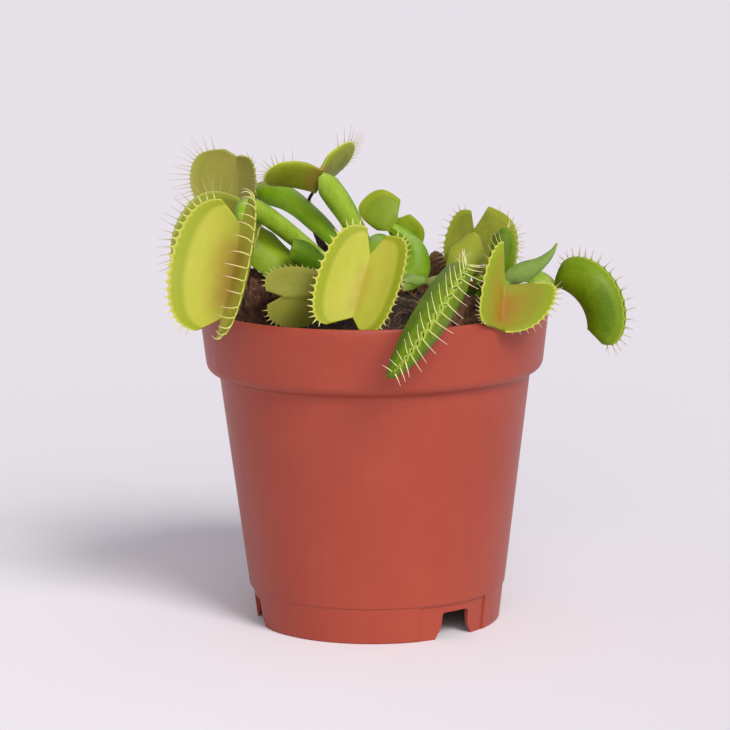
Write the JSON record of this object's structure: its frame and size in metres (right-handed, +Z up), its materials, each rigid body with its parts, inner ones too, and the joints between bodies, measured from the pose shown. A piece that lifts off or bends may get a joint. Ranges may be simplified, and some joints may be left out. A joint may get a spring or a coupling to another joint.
{
  "type": "potted venus flytrap",
  "caption": "Venus flytrap with open and closed hinged traps on winged stalks, growing in a tapered terracotta-coloured plastic nursery pot with a deep rim band.",
  "frame": {"origin": "on the ground, under the middle of the whole outline seen from above", "axes": "+Z up along the pot and the plant, +X to the right and -Y towards the front, where the drooping trap hangs over the rim"},
  "size_m": [0.1141, 0.107, 0.1185],
  "materials": {
    "pot_plastic": "satin injection-moulded terracotta-coloured polypropylene",
    "peat": "damp crumbly peat and fine bark, fully rough",
    "moss": "dried sphagnum and peat clumps, fully rough",
    "crown": "pale fleshy leaf bases",
    "dry_stem": "dead, blackened flower stalk",
    "petiole": "glossy waxy green leaf stalk",
    "leaf": "waxy green leaf blade",
    "trap_yellow": "yellow-green lobes with a bright green rim band and a rust flush at the midrib",
    "trap_olive": "olive outer faces of the lobes",
    "trap_green": "fresh green lobes"
  },
  "bodies": {
    "root": {"crown_middle": "crown", "crown_right": "crown", "flower_stalk_dry": "dry_stem", "growing_medium": "peat", "leaf_horned_right": "leaf", "leaf_pale_middle": "leaf", "leaf_short_left": "leaf", "leaf_small_right_1": "leaf", "leaf_small_right_2": "leaf", "moss_clump_back": "moss", "moss_clump_left": "moss", "moss_clump_right": "moss", "petiole_back_right": "petiole", "petiole_behind_left": "petiole", "petiole_closed_right": "petiole", "petiole_drooping_front": "petiole", "petiole_far_left": "petiole", "petiole_far_right": "petiole", "petiole_front_middle": "petiole", "petiole_low_left": "petiole", "petiole_right": "petiole", "petiole_top": "petiole", "petiole_wide_left": "petiole", "petiole_young_middle": "petiole", "pot": "pot_plastic", "trap_back_right": "trap_olive", "trap_behind_left": "trap_olive", "trap_closed_right": "trap_olive", "trap_drooping_front": "trap_green", "trap_far_left": "trap_olive", "trap_far_right": "trap_green", "trap_front_middle": "trap_yellow", "trap_low_left": "trap_olive", "trap_right": "trap_yellow", "trap_top": "trap_olive", "trap_wide_left": "trap_yellow", "trap_young_middle": "trap_green"}
  },
  "joints": []
}
